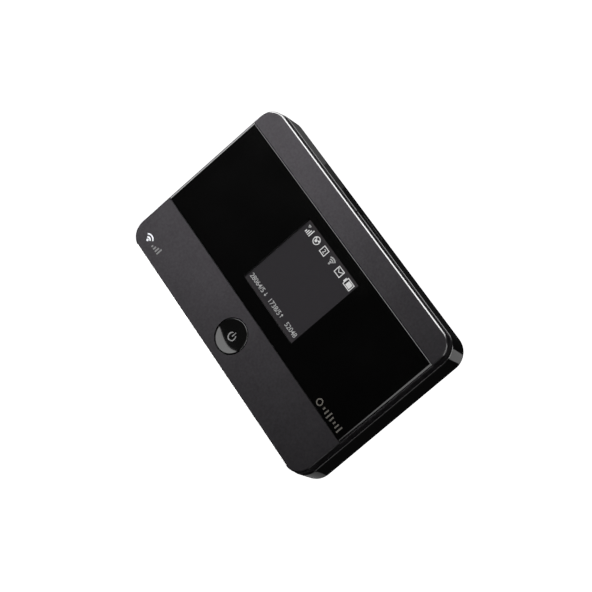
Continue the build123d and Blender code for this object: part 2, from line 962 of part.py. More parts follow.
# name, side, low and high end along X, places of the legs
side_aerials = (
    ("second_antenna", -1, (-16.0, 16.0), (-12.0, -8.0)),
    ("wireless_antenna", 1, (24.0, 42.0), (28.0, 32.0)),
)
for aerial_name, side, (start, end), legs in side_aerials:
    with BuildPart() as aerial:
        with Locations(((start + end) / 2, side * (well_half_width - aerial_sheet / 2), aerial_low)):
            Box(
                end - start,
                aerial_sheet,
                aerial_high - aerial_low,
                align=(Align.CENTER, Align.CENTER, Align.MIN),
            )
        leg_outer = well_half_width - aerial_sheet
        leg_inner = board_half_width - aerial_leg_rest
        for x in legs:
            with Locations((x, side * (leg_outer + leg_inner) / 2, board_top)):
                Box(
                    aerial_leg_width,
                    leg_outer - leg_inner,
                    aerial_leg_sheet,
                    align=(Align.CENTER, Align.CENTER, Align.MIN),
                )
    aerial.part.label = aerial_name
    export_step(aerial.part, "parts/" + aerial_name + ".step")

# Rear cover: gloss tray that forms the side band and the back
with BuildPart() as cover_cavity:
    slab(
        half_length - cover_wall,
        half_width - cover_wall,
        corner_radius - cover_wall,
        cover_floor,
        height,
    )
    fillet(cover_cavity.faces().sort_by(Axis.Z)[0].edges(), foot_radius - cover_wall)

with BuildPart() as rear_cover:
    slab(half_length, half_width, corner_radius, 0, cover_top)
    fillet(rear_cover.faces().sort_by(Axis.Z)[-1].edges(), rim_radius)
    fillet(rear_cover.faces().sort_by(Axis.Z)[0].edges(), foot_radius)
    add(cover_cavity.part, mode=Mode.SUBTRACT)
    block(
        -half_length,
        -half_length + 2 * cover_wall,
        -bezel_width / 2 - menu_gap,
        bezel_width / 2 + menu_gap,
        bezel_low - menu_gap,
        cover_top,
        mode=Mode.SUBTRACT,
    )
    block(
        -menu_length / 2 - menu_gap,
        menu_length / 2 + menu_gap,
        half_width - 2 * cover_wall,
        half_width,
        menu_low - menu_gap,
        cover_top,
        mode=Mode.SUBTRACT,
    )
    with Locations((0, -half_width, cover_top)):
        Box(nail_slot_length, 2 * nail_slot_depth, 2 * nail_slot_height, mode=Mode.SUBTRACT)
    for side in (-1, 1):
        with Locations((side * bead_x, 0, parting_z - bead_drop)):
            Box(
                bead_length + 2 * bead_clearance,
                2 * (half_width - cover_wall + bead_proud),
                bead_height + 2 * bead_clearance,
                mode=Mode.SUBTRACT,
            )
rear_cover.part.label = "rear_cover"
export_step(rear_cover.part, "parts/rear_cover.step")

# Screws from the chassis's underside into the front shell's bosses
head_low = chassis_under + screw_sink
shank_low = head_low + screw_head_height
with BuildPart() as chassis_screws:
    for x, y in screw_places:
        post(x, y, screw_head_radius, head_low, shank_low)
        post(x, y, screw_shank_radius, shank_low, seat_under - screw_tip_gap)
        with BuildSketch(Plane.XY.offset(head_low)) as socket:
            with Locations((x, y)):
                RegularPolygon(screw_socket_radius, 6)
        extrude(socket.sketch, amount=screw_socket_depth, mode=Mode.SUBTRACT)
chassis_screws.part.label = "chassis_screws"
export_step(chassis_screws.part, "parts/chassis_screws.step")
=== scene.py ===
import bpy
import bmesh
import json
import math
from mathutils import Matrix, Quaternion, Vector


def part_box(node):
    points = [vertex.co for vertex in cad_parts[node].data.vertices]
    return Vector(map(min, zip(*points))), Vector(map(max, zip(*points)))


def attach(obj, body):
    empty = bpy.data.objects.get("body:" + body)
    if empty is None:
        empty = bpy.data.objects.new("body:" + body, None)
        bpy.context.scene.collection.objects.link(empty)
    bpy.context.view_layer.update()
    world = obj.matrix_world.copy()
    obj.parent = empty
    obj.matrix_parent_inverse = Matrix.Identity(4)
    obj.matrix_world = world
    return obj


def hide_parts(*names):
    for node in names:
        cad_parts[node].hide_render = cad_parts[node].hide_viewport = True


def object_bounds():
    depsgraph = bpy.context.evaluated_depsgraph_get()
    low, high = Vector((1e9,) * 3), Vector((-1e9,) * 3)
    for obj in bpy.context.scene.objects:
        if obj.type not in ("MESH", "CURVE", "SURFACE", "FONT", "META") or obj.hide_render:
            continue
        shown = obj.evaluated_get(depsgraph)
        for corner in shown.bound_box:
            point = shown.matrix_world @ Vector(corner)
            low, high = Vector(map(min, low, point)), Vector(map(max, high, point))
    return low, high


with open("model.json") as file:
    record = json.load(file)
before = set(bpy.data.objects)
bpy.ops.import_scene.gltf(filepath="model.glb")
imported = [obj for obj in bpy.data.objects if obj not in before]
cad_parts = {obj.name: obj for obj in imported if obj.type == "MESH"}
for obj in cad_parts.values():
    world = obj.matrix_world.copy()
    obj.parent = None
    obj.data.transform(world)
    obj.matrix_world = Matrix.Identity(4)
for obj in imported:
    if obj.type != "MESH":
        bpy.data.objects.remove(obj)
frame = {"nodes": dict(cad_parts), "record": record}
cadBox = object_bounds()
nodes = frame["nodes"]
mm = 0.001
scene = bpy.context.scene
boxLow, boxHigh = Vector(cadBox[0]), Vector(cadBox[1])
middle = (boxLow + boxHigh) / 2
print("frame loaded:", len(nodes), "nodes")


# Camera

cameraSet = {
    "azimuth": 25.17,  # degrees from +X towards +Y
    "elevation": 62.15,
    "distance": 0.6263,
    "roll": -63.32,
    "lens": 118.7,
    "aim": (1.1, -0.4, -0.4),  # from the middle of the object, in mm
}


def outwardOf(azimuth, elevation):
    # Unit vector for two angles in degrees, the azimuth from +X towards +Y
    turn, lift = math.radians(azimuth), math.radians(elevation)
    return Vector((math.cos(lift) * math.cos(turn), math.cos(lift) * math.sin(turn), math.sin(lift)))


def addCamera(settings):
    outward = outwardOf(settings["azimuth"], settings["elevation"])
    data = bpy.data.cameras.new("camera")
    data.lens = settings["lens"]
    data.sensor_width = 36.0
    data.clip_start = 0.01
    camera = bpy.data.objects.new("camera", data)
    scene.collection.objects.link(camera)
    camera.location = middle + Vector(settings["aim"]) * mm + outward * settings["distance"]
    camera.rotation_mode = "QUATERNION"
    roll = Quaternion((0, 0, 1), math.radians(settings["roll"]))
    camera.rotation_quaternion = (-outward).to_track_quat("-Z", "Y") @ roll
    scene.camera = camera


addCamera(cameraSet)
print("camera placed")


# Shader wires


class Wire:
    # One output of a shader node. Sums on wires add Math nodes.
    def __init__(self, tree, output):
        self.tree = tree
        self.output = output

    def node(self, kind, settings=None, inputs=None, output=0):
        made = self.tree.nodes.new(kind)
        for name, value in (settings or {}).items():
            if name == "stops":
                fillRamp(made.color_ramp, value)
            else:
                setattr(made, name, value)
        for name, value in (inputs or {}).items():
            if isinstance(value, Wire):
                self.tree.links.new(value.output, made.inputs[name])
            else:
                made.inputs[name].default_value = value
        return Wire(self.tree, made.outputs[output])

    def maths(self, operation, first, second=0.0):
        return self.node("ShaderNodeMath", {"operation": operation}, {0: first, 1: second})

    def __add__(self, other):
        return self.maths("ADD", self, other)

    def __radd__(self, other):
        return self.maths("ADD", other, self)

    def __sub__(self, other):
        return self.maths("SUBTRACT", self, other)

    def __rsub__(self, other):
        return self.maths("SUBTRACT", other, self)

    def __mul__(self, other):
        return self.maths("MULTIPLY", self, other)

    def __rmul__(self, other):
        return self.maths("MULTIPLY", other, self)

    def __gt__(self, other):
        return self.maths("GREATER_THAN", self, other)

    def __lt__(self, other):
        return self.maths("LESS_THAN", self, other)


def fillRamp(ramp, stops):
    while len(ramp.elements) < len(stops):
        ramp.elements.new(0.5)
    for element, (place, colour) in zip(ramp.elements, stops):
        element.position = place
        element.color = colour


def grey(value, warmth=0.0):
    # A near-grey colour, warmer above zero and cooler below
    return (value * (1 + warmth), value, value * (1 - warmth), 1)


def newFinish(name, shaderValues):
    # A material, its shader, and a wire of the piece's own coordinates in millimetres
    made = bpy.data.materials.new(name)
    made.use_nodes = True
    tree = made.node_tree
    shader = tree.nodes["Principled BSDF"]
    for socket, value in shaderValues.items():
        shader.inputs[socket].default_value = value
    place = Wire(tree, tree.nodes.new("ShaderNodeTexCoord").outputs["Object"])
    milli = place.node("ShaderNodeVectorMath", {"operation": "SCALE"}, {0: place, "Scale": 1 / mm})
    return made, shader, milli


def feed(shader, **wires):
    # Links wires to the shader's sockets: baseColour goes to Base Color, and so on
    sockets = {"baseColour": "Base Color", "emission": "Emission Color", "coat": "Coat Weight"}
    for name, wire in wires.items():
        wire.tree.links.new(wire.output, shader.inputs[sockets.get(name, name.capitalize())])


def axes(milli):
    # The three coordinates as separate wires
    return [milli.node("ShaderNodeSeparateXYZ", {}, {0: milli}, output) for output in range(3)]


def stretched(milli, factors):
    return milli.node("ShaderNodeVectorMath", {"operation": "MULTIPLY"}, {0: milli, 1: factors})


def noise(place, scale, detail=2.0):
    return place.node("ShaderNodeTexNoise", {}, {"Vector": place, "Scale": scale, "Detail": detail})


def cells(place, scale):
    return place.node("ShaderNodeTexVoronoi", {"feature": "F1"}, {"Vector": place, "Scale": scale})


def spread(wire, low, high):
    # Noise lies around a half, so this stretches 0.3 to 0.7 to the two values
    names = {"From Min": 0.3, "From Max": 0.7, "To Min": low, "To Max": high}
    return wire.node("ShaderNodeMapRange", {}, {"Value": wire, **names})


def blendColours(mask, first, second):
    inputs = {0: mask, 6: first, 7: second}
    return mask.node("ShaderNodeMix", {"data_type": "RGBA"}, inputs, output=2)


def bump(height, distance, strength=1.0):
    # The distance is in millimetres
    values = {"Height": height, "Distance": distance * mm, "Strength": strength}
    return height.node("ShaderNodeBump", {}, values)


def inside(value, low, high):
    # 1 between two values, with hard edges
    return (value > low) * (value < high)


# Finishes: plastics


def mouldedFinish(name, settings):
    # Spark-eroded plastic: rounded grains, and a colour that drifts a little.
    # A polished band, if there is one, lies between two heights and may fade along X.
    shine = settings.get("shine", 0.5)
    values = {"IOR": 1.5, "Specular IOR Level": shine, "Coat Roughness": 0.12, "Coat IOR": 2.2}
    made, shader, milli = newFinish(name, values)
    x, z = axes(milli)[::2]
    start, end, least = settings.get("bandFade", (0.0, 1.0, 1.0))
    fadeValues = {"Value": x, "From Min": start, "From Max": end, "To Min": 1.0, "To Max": least}
    band = inside(z, *settings.get("band", (0, 0))) * x.node("ShaderNodeMapRange", {}, fadeValues)
    speckle = spread(noise(milli, settings.get("speckleScale", 1.3), 3.0), 0.0, 1.0)
    grains = cells(milli, settings["grainScale"])
    fine = noise(milli, settings["grainScale"] * 2.2, 1.0)
    drift = spread(noise(milli, settings["driftScale"]), 0.0, 1.0)
    feed(
        shader,
        baseColour=blendColours(drift * 0.35 + speckle * 0.65, settings["dark"], settings["light"]),
        roughness=settings["rough"] + spread(fine, -0.05, 0.05),
        coat=band * settings.get("polish", 0.0),
        normal=bump((grains * 0.7 + fine * 0.3) * (1 - band), settings["grainDepth"]),
    )
    return made


shellSet = {
    "dark": (0.040, 0.0375, 0.041, 1),
    "light": (0.056, 0.0525, 0.0575, 1),
    "grainScale": 5.0,
    "driftScale": 0.09,
    "grainDepth": 0.012,
    "rough": 0.50,
    "shine": 0.01,
    "band": (14.95, 15.66),
    "bandFade": (44.0, 50.5, 0.12),  # from, to, and what is left of it
    "polish": 1.0,
}
chassisSet = {
    "dark": grey(0.014),
    "light": grey(0.022),
    "grainScale": 3.2,
    "driftScale": 0.12,
    "grainDepth": 0.02,
    "rough": 0.55,
}
connectorSet = {
    "dark": grey(0.011),
    "light": grey(0.018),
    "grainScale": 6.0,
    "driftScale": 0.4,
    "grainDepth": 0.006,
    "rough": 0.42,
}
cardSet = {
    "dark": grey(0.60, 0.02),
    "light": grey(0.72, 0.01),
    "grainScale": 7.0,
    "driftScale": 0.3,
    "grainDepth": 0.003,
    "rough": 0.38,
}
rubberSet = {
    "dark": (0.16, 0.19, 0.23, 1),
    "light": (0.24, 0.27, 0.31, 1),
    "grainScale": 4.0,
    "driftScale": 0.5,
    "grainDepth": 0.03,
    "rough": 0.75,
}
adhesiveSet = {
    "dark": grey(0.006),
    "light": grey(0.011),
    "grainScale": 2.0,
    "driftScale": 0.3,
    "grainDepth": 0.01,
    "rough": 0.8,
}
printSet = {
    "dark": (0.70, 0.72, 0.76, 1),
    "light": (0.82, 0.84, 0.88, 1),
    "grainScale": 8.0,
    "driftScale": 1.0,
    "grainDepth": 0.003,
    "rough": 0.5,
}
faintPrintSet = {
    "dark": grey(0.15),
    "light": grey(0.19),
    "grainScale": 8.0,
    "driftScale": 1.0,
    "grainDepth": 0.003,
    "rough": 0.55,
}
inlaySet = {
    "dark": grey(0.19),
    "light": grey(0.25),
    "grainScale": 6.0,
    "driftScale": 0.8,
    "grainDepth": 0.002,
    "rough": 0.35,
}
markSet = {
    "dark": (0.060, 0.054, 0.042, 1),
    "light": (0.085, 0.076, 0.060, 1),
    "grainScale": 9.0,
    "driftScale": 0.8,
    "grainDepth": 0.002,
    "rough": 0.45,
}
labelInkSet = {
    "dark": grey(0.025),
    "light": grey(0.045),
    "grainScale": 8.0,
    "driftScale": 1.0,
    "grainDepth": 0.003,
    "rough": 0.5,
}
shellFinish = mouldedFinish("matteShell", shellSet)
chassisFinish = mouldedFinish("chassisPlastic", chassisSet)
connectorFinish = mouldedFinish("connectorPlastic", connectorSet)
cardFinish = mouldedFinish("cardPlastic", cardSet)
rubberFinish = mouldedFinish("thermalRubber", rubberSet)
adhesiveFinish = mouldedFinish("blackAdhesive", adhesiveSet)
printFinish = mouldedFinish("whitePrint", printSet)
faintPrintFinish = mouldedFinish("greyPrint", faintPrintSet)
inlayFinish = mouldedFinish("lightInlay", inlaySet)
markFinish = mouldedFinish("dullGoldPrint", markSet)
labelInkFinish = mouldedFinish("labelInk", labelInkSet)


# Finishes: gloss black, and the window

glossSet = {
    "dark": grey(0.0035),
    "light": grey(0.0055),
    "smudgeScale": 0.11,
    "roughLow": 0.045,
    "roughHigh": 0.085,
    "peelScale": 0.7,
    "peelDepth": 0.0006,
    "rim": (11.3, 11.8),
    "rimRough": 0.05,
}
windowSet = {
    "borderX": 2.175,  # from the display module's edge to the view opening
    "borderY": 2.625,
    "viewAlpha": 0.25,
    "roughLow": 0.03,
    "roughHigh": 0.06,
    "smudgeScale": 0.06,
}


def glossFinish(name, settings):
    # High-gloss moulding: faint smudges in the roughness, and the slow waves of a moulded surface
    made, shader, milli = newFinish(name, {"IOR": 1.5})
    smudge = noise(milli, settings["smudgeScale"], 3.0)
    peel = noise(milli, settings["peelScale"], 1.0)
    rim = inside(axes(milli)[2], *settings["rim"])
    feed(
        shader,
        baseColour=blendColours(smudge, settings["dark"], settings["light"]),
        roughness=spread(smudge, settings["roughLow"], settings["roughHigh"]) + rim * settings["rimRough"],
        normal=bump(peel, settings["peelDepth"]),
    )
    return made


def windowFinish(settings):
    # Clear plate, inked black from behind except over the display
    made, shader, milli = newFinish("glossWindow", {"IOR": 1.5})
    low, high = (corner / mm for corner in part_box("display_panel"))
    x, y = axes(milli)[:2]
    viewX = inside(x, low.x + settings["borderX"], high.x - settings["borderX"])
    viewY = inside(y, low.y + settings["borderY"], high.y - settings["borderY"])
    smudge = noise(milli, settings["smudgeScale"], 3.0)
    feed(
        shader,
        baseColour=blendColours(smudge, grey(0.0012), grey(0.0022)),
        roughness=spread(smudge, settings["roughLow"], settings["roughHigh"]),
        alpha=1 - viewX * viewY * (1 - settings["viewAlpha"]),
    )
    return made


glossBlack = glossFinish("glossBlack", glossSet)
glossWindow = windowFinish(windowSet)


# Finishes: display

displaySet = {
    "tone": (0.086, 0.080, 0.089, 1),
    "edgeTone": (0.112, 0.102, 0.108, 1),
    "edge": 1.6,  # mm over which the tone rises towards the view's ends
    "dotPitch": 0.18,
    "glow": 0.55,
    "iconGlow": 1.15,
}


def displayFinish(settings):
    # Lit panel: fine dot grid, a little lighter along its two long edges
    made, shader, milli = newFinish("displayGlass", {"IOR": 1.5, "Emission Strength": settings["glow"]})
    low, high = (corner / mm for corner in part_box("display_panel"))
    x, y = axes(milli)[:2]
    half = (high.y - low.y) / 2 - windowSet["borderY"]
    fromCentre = y - (low.y + high.y) / 2
    offCentre = fromCentre.maths("ABSOLUTE", fromCentre)
    values = {"Value": offCentre, "From Min": half - settings["edge"], "From Max": half}
    edges = y.node("ShaderNodeMapRange", {"interpolation_type": "SMOOTHSTEP"}, values)
    alongX, alongY = x * (1 / settings["dotPitch"]), y * (1 / settings["dotPitch"])
    dots = (alongX.maths("FRACT", alongX) > 0.12) * (alongY.maths("FRACT", alongY) > 0.12)
    tone = blendColours(edges * 0.9, settings["tone"], settings["edgeTone"])
    feed(
        shader,
        baseColour=blendColours(dots, grey(0.004), grey(0.009)),
        emission=blendColours(dots * 0.3 + 0.7, grey(0.0), tone),
        roughness=0.05 + spread(noise(milli, 0.2), 0.0, 0.03),
    )
    return made


def litFinish(name, tone, strength):
    # Lit segments of the display, a little uneven in brightness
    made, shader, milli = newFinish(name, {"Emission Strength": strength, "Roughness": 0.4})
    uneven = noise(milli, 6.0, 1.0)
    feed(
        shader,
        baseColour=blendColours(uneven, grey(0.1), grey(0.2)),
        emission=blendColours(uneven, grey(tone), grey(tone * 0.85)),
    )
    return made


displayGlass = displayFinish(displaySet)
iconFinish = litFinish("litIcon", 0.9, displaySet["iconGlow"])
dimIconFinish = litFinish("litIconDim", 0.48, displaySet["iconGlow"])


# Finishes: metals


def metalFinish(name, settings):
    # Rolled sheet: streaks along one way, a few stains and handling marks
    made, shader, milli = newFinish(name, {"Metallic": 1.0})
    streaks = noise(stretched(milli, settings["streak"]), 1.0, 3.0)
    stains = noise(milli, 0.25, 3.0)
    feed(
        shader,
        baseColour=blendColours(stains * 0.6 + streaks * 0.4, settings["dark"], settings["light"]),
        roughness=spread(streaks, settings["roughLow"], settings["roughHigh"]),
        normal=bump(streaks, settings["depth"]),
    )
    return made


sheetSet = {
    "dark": grey(0.42, 0.02),
    "light": grey(0.60, 0.015),
    "streak": (0.25, 6.0, 6.0),
    "roughLow": 0.24,
    "roughHigh": 0.42,
    "depth": 0.002,
}
switchSet = {
    "dark": grey(0.34, 0.02),
    "light": grey(0.52, 0.01),
    "streak": (2.0, 9.0, 9.0),
    "roughLow": 0.25,
    "roughHigh": 0.40,
    "depth": 0.001,
}
goldSet = {
    "dark": (0.66, 0.42, 0.14, 1),
    "light": (0.83, 0.58, 0.24, 1),
    "streak": (3.0, 14.0, 3.0),
    "roughLow": 0.18,
    "roughHigh": 0.34,
    "depth": 0.001,
}
aerialSet = {
    "dark": (0.52, 0.45, 0.36, 1),
    "light": (0.68, 0.60, 0.50, 1),
    "streak": (0.4, 0.4, 7.0),
    "roughLow": 0.28,
    "roughHigh": 0.45,
    "depth": 0.001,
}
screwSet = {
    "dark": grey(0.06),
    "light": grey(0.12),
    "streak": (4.0, 4.0, 1.0),
    "roughLow": 0.30,
    "roughHigh": 0.5,
    "depth": 0.002,
}
sheetMetal = metalFinish("sheetMetal", sheetSet)
switchMetal = metalFinish("switchMetal", switchSet)
goldPlate = metalFinish("goldPlate", goldSet)
aerialMetal = metalFinish("aerialMetal", aerialSet)
screwSteel = metalFinish("screwSteel", screwSet)


# Finishes: board, ribbon, battery

boardSet = {
    "mask": (0.008, 0.055, 0.028, 1),
    "track": (0.015, 0.09, 0.045, 1),
    "trackScale": 0.55,
    "viaScale": 0.45,
}
ribbonSet = {"film": (0.30, 0.12, 0.02, 1), "track": (0.50, 0.25, 0.07, 1), "pitch": 0.5}
wrapSet = {"dark": grey(0.016), "light": grey(0.026), "creaseScale": 0.16, "creaseDepth": 0.03}
labelSet = {"paper": grey(0.42, 0.01), "shade": grey(0.34, 0.01), "fibreScale": 2.5}


def boardFinish(settings):
    # Solder mask over tracks that run in steps, with plated holes
    made, shader, milli = newFinish("boardLaminate", {"IOR": 1.5})
    across = axes(milli)[0] * settings["trackScale"] + noise(milli, 0.12, 0.0) * 6.0
    tracks = inside(across.maths("FRACT", across), 0.30, 0.62)
    holes = cells(milli, settings["viaScale"]) < 0.16
    covered = blendColours(tracks, settings["mask"], settings["track"])
    feed(
        shader,
        baseColour=blendColours(holes, covered, goldSet["dark"]),
        roughness=0.3 + holes * 0.1,
        metallic=holes * 0.9,
        normal=bump(tracks, 0.02),
    )
    return made


def ribbonFinish(settings):
    made, shader, milli = newFinish("flexFilm", {"IOR": 1.5})
    place = axes(milli)[1] * (1 / settings["pitch"])
    tracks = place.maths("FRACT", place) > 0.45
    feed(
        shader,
        baseColour=blendColours(tracks, settings["film"], settings["track"]),
        roughness=0.28 + tracks * 0.08,
        normal=bump(tracks, 0.01),
    )
    return made


def wrapFinish(settings):
    # Shrunk film over the cell, with long shallow creases
    made, shader, milli = newFinish("batteryWrap", {"IOR": 1.5})
    creases = noise(stretched(milli, (1.0, 0.25, 1.0)), settings["creaseScale"], 2.0)
    fine = noise(milli, 3.0, 1.0)
    feed(
        shader,
        baseColour=blendColours(creases, settings["dark"], settings["light"]),
        roughness=spread(fine, 0.30, 0.42),
        normal=bump(creases * 0.9 + fine * 0.1, settings["creaseDepth"]),
    )
    return made


def labelFinish(settings):
    made, shader, milli = newFinish("labelFilm", {"IOR": 1.45})
    fibres = noise(milli, settings["fibreScale"], 4.0)
    feed(
        shader,
        baseColour=blendColours(fibres, settings["shade"], settings["paper"]),
        roughness=spread(fibres, 0.40, 0.52),
        normal=bump(fibres, 0.004),
    )
    return made


boardLaminate = boardFinish(boardSet)
flexFilm = ribbonFinish(ribbonSet)
batteryWrap = wrapFinish(wrapSet)
labelFilm = labelFinish(labelSet)

finishOfSlot = {
    "matte_shell": shellFinish,
    "gloss_window": glossWindow,
    "black_adhesive": adhesiveFinish,
    "display_glass": displayGlass,
    "sheet_metal": sheetMetal,
    "flex_film": flexFilm,
    "connector_plastic": connectorFinish,
    "gloss_black": glossBlack,
    "light_inlay": inlayFinish,
    "switch_metal": switchMetal,
    "chassis_plastic": chassisFinish,
    "board_laminate": boardLaminate,
    "thermal_rubber": rubberFinish,
    "battery_wrap": batteryWrap,
    "label_film": labelFilm,
    "gold_contact": goldPlate,
    "card_plastic": cardFinish,
    "aerial_metal": aerialMetal,
    "screw_steel": screwSteel,
}
slotOfNode = {part["node"]: part["material_slot"] for part in frame["record"]["subparts"]}
for nodeName, nodeObject in nodes.items():
    nodeObject.data.materials.clear()
    nodeObject.data.materials.append(finishOfSlot[slotOfNode[nodeName]])
print("finishes made:", len(finishOfSlot))


# Modelling helpers


def objectMode():
    if bpy.context.object and bpy.context.object.mode != "OBJECT":
        bpy.ops.object.mode_set(mode="OBJECT")


def only(piece):
    # This piece alone is selected and active
    objectMode()
    bpy.ops.object.select_all(action="DESELECT")
    piece.select_set(True)
    bpy.context.view_layer.objects.active = piece


def fresh(name):
    # Names the primitive that was just added
    piece = bpy.context.object
    piece.name = name
    piece.data.name = name
    return piece


def readyToAdd():
    objectMode()
    bpy.ops.object.select_all(action="DESELECT")


def addBlock(name, low, high):
    readyToAdd()
    low, high = Vector(low), Vector(high)
    bpy.ops.mesh.primitive_cube_add(size=1, location=(low + high) / 2)
    piece = fresh(name)
    piece.scale = high - low
    bpy.ops.object.transform_apply(location=True, rotation=True, scale=True)
    return piece


def addPost(name, centre, radius, low, high, sides=48):
    readyToAdd()
    place = (centre[0], centre[1], (low + high) / 2)
    bpy.ops.mesh.primitive_cylinder_add(vertices=sides, radius=radius, depth=high - low, location=place)
    piece = fresh(name)
    bpy.ops.object.transform_apply(location=True, rotation=True, scale=True)
    return piece


def pick(piece, kind, test):
    # Edit mode, with only the faces, edges or corners that pass the test selected
    bpy.context.view_layer.objects.active = piece
    if piece.mode != "EDIT":
        only(piece)
        bpy.ops.object.mode_set(mode="EDIT")
    bpy.ops.mesh.select_mode(type=kind)
    bpy.ops.mesh.select_all(action="DESELECT")
    shape = bmesh.from_edit_mesh(piece.data)
    shape.normal_update()
    for part in {"FACE": shape.faces, "EDGE": shape.edges, "VERT": shape.verts}[kind]:
        if test(part):
            part.select_set(True)
    shape.select_flush_mode()
    bmesh.update_edit_mesh(piece.data)


def same(first, second):
    return abs(first - second) < 0.002 * mm


def upright(edge):
    first, second = (corner.co for corner in edge.verts)
    return same(first.x, second.x) and same(first.y, second.y)


def atLevel(height):
    # Edges that lie at one height
    return lambda edge: all(same(corner.co.z, height) for corner in edge.verts)


def facing(direction, near=0.99):
    direction = Vector(direction)
    return lambda face: face.normal.dot(direction) > near


def roundEdges(offset, segments):
    bpy.ops.mesh.bevel(offset=offset, segments=segments, profile=0.5, affect="EDGES", clamp_overlap=False)


def push(move):
    bpy.ops.mesh.extrude_region_move(TRANSFORM_OT_translate={"value": move})


def combine(piece, tool, operation):
    # A boolean with another object, which is then removed
    only(piece)
    cut = piece.modifiers.new("cut", "BOOLEAN")
    cut.operation = operation
    cut.object = tool
    cut.solver = "EXACT"
    bpy.ops.object.modifier_apply(modifier=cut.name)
    bpy.data.objects.remove(tool)


def cutBlock(piece, low, high):
    combine(piece, addBlock("cutter", low, high), "DIFFERENCE")


def soften(piece, width, segments=2, angle=35):
    # A small rounding on every edge that is sharper than the angle
    only(piece)
    edge = piece.modifiers.new("edge", "BEVEL")
    edge.width = width
    edge.segments = segments
    edge.limit_method = "ANGLE"
    edge.angle_limit = math.radians(angle)
    edge.use_clamp_overlap = True
    bpy.ops.object.modifier_apply(modifier=edge.name)


def finishPiece(piece, body, finish, smooth=32, weighted=True):
    # Smooth shading, material, slot and body
    only(piece)
    bpy.ops.object.shade_smooth_by_angle(angle=math.radians(smooth))
    if weighted:
        even = piece.modifiers.new("even", "WEIGHTED_NORMAL")
        even.keep_sharp = True
        bpy.ops.object.modifier_apply(modifier=even.name)
    piece.data.materials.clear()
    piece.data.materials.append(finish)
    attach(piece, body)
    return piece


def join(pieces, name):
    readyToAdd()
    for piece in pieces:
        piece.select_set(True)
    bpy.context.view_layer.objects.active = pieces[0]
    bpy.ops.object.join()
    return fresh(name)


# Rear tray

traySet = {
    "corner": 6.5 * mm,
    "foot": 2.6 * mm,
    "rim": 0.3 * mm,
    "wall": 1.3 * mm,
    "floor": 1.2 * mm,
    "cornerSteps": 14,
    "bezelHalf": 5.75 * mm,  # notch round the charging socket's bezel
    "bezelLow": 8.5 * mm,
    "keyHalf": 5.6 * mm,  # notch for the side key
    "keyLow": 6.7 * mm,
    "nailHalf": 6.0 * mm,
    "nailDeep": 0.7 * mm,
    "nailLow": 10.85 * mm,
    "grooveX": 26.0 * mm,
    "grooveHalf": 4.2 * mm,
    "grooveDeep": 0.13 * mm,
    "grooveLow": 9.9 * mm,
    "grooveHigh": 10.9 * mm,
    "edge": 0.12 * mm,
}


def makeTray(settings):
    low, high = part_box("rear_cover")
    wall = settings["wall"]
    tray = addBlock("rear_tray", low, high)
    pick(tray, "EDGE", upright)
    roundEdges(settings["corner"], settings["cornerSteps"])
    pick(tray, "FACE", facing((0, 0, 1)))
    bpy.ops.mesh.inset(thickness=wall, depth=0)
    push((0, 0, low.z + settings["floor"] - high.z))
    pick(tray, "EDGE", atLevel(low.z + settings["floor"]))
    roundEdges(settings["foot"] - wall, 5)
    pick(tray, "EDGE", atLevel(low.z))
    roundEdges(settings["foot"], 9)
    rimTest = atLevel(high.z)
    pick(tray, "EDGE", lambda edge: rimTest(edge) and outer(edge, low, high, wall / 2))
    roundEdges(settings["rim"], 4)
    objectMode()
    top = high.z + wall
    cutBlock(
        tray,
        (low.x - wall, -settings["bezelHalf"], settings["bezelLow"]),
        (low.x + 2 * wall, settings["bezelHalf"], top),
    )
    cutBlock(
        tray,
        (-settings["keyHalf"], high.y - 2 * wall, settings["keyLow"]),
        (settings["keyHalf"], high.y + wall, top),
    )
    cutBlock(
        tray,
        (-settings["nailHalf"], low.y - wall, settings["nailLow"]),
        (settings["nailHalf"], low.y + settings["nailDeep"], top),
    )
    for side in (-1, 1):
        place = side * settings["grooveX"]
        reach = high.y - wall + settings["grooveDeep"]
        cutBlock(
            tray,
            (place - settings["grooveHalf"], -reach, settings["grooveLow"]),
            (place + settings["grooveHalf"], reach, settings["grooveHigh"]),
        )
    soften(tray, settings["edge"])
    finishPiece(tray, "cover", glossBlack)
    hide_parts("rear_cover")


def outer(edge, low, high, margin):
    # True for an edge near the outline, corners included
    middlePoint = (edge.verts[0].co + edge.verts[1].co) / 2
    toSide = min(middlePoint.x - low.x, high.x - middlePoint.x, middlePoint.y - low.y, high.y - middlePoint.y)
    corner = traySet["corner"]
    reachX = abs(middlePoint.x) - (high.x - corner)
    reachY = abs(middlePoint.y) - (high.y - corner)
    if reachX > 0 and reachY > 0:
        return math.hypot(reachX, reachY) > corner - margin
    return toSide < margin


makeTray(traySet)
print("rear tray made")


# Front casing

casingSet = {
    "corner": 6.2 * mm,
    "cornerSteps": 14,
    "chamfer": 0.7 * mm,
    "chamferSteps": 3,
    "skirt": 2.0 * mm,
    "seatUnder": 13.5 * mm,
    "seatTop": 14.45 * mm,
    "plateUnder": 14.4 * mm,
    "seatWall": 1.2 * mm,
    "rim": 0.35 * mm,  # lip past each end of the window
    "rimDrop": 0.5 * mm,
    "windowGap": 0.18 * mm,
    "displayGap": 0.2 * mm,
    "buttonGap": 0.28 * mm,
    "buttonRadius": 5.85 * mm,
    "bossRadius": 2.1 * mm,
    "boreRadius": 0.85 * mm,
    "screwReach": 4 * mm,  # wider than one screw and less than the gap to the next
    "edge": 0.06 * mm,
}


def screwPlaces(reach):
    # The middles of the screws, from their own mesh
    corners = [corner.co.xy for corner in nodes["chassis_screws"].data.vertices]
    seeds = []
    for corner in corners:
        if all((corner - seed).length >= reach for seed in seeds):
            seeds.append(corner)
    places = []
    for seed in seeds:
        group = [corner for corner in corners if (corner - seed).length < reach]
        places.append([(min(values) + max(values)) / 2 for values in zip(*group)])
    return places


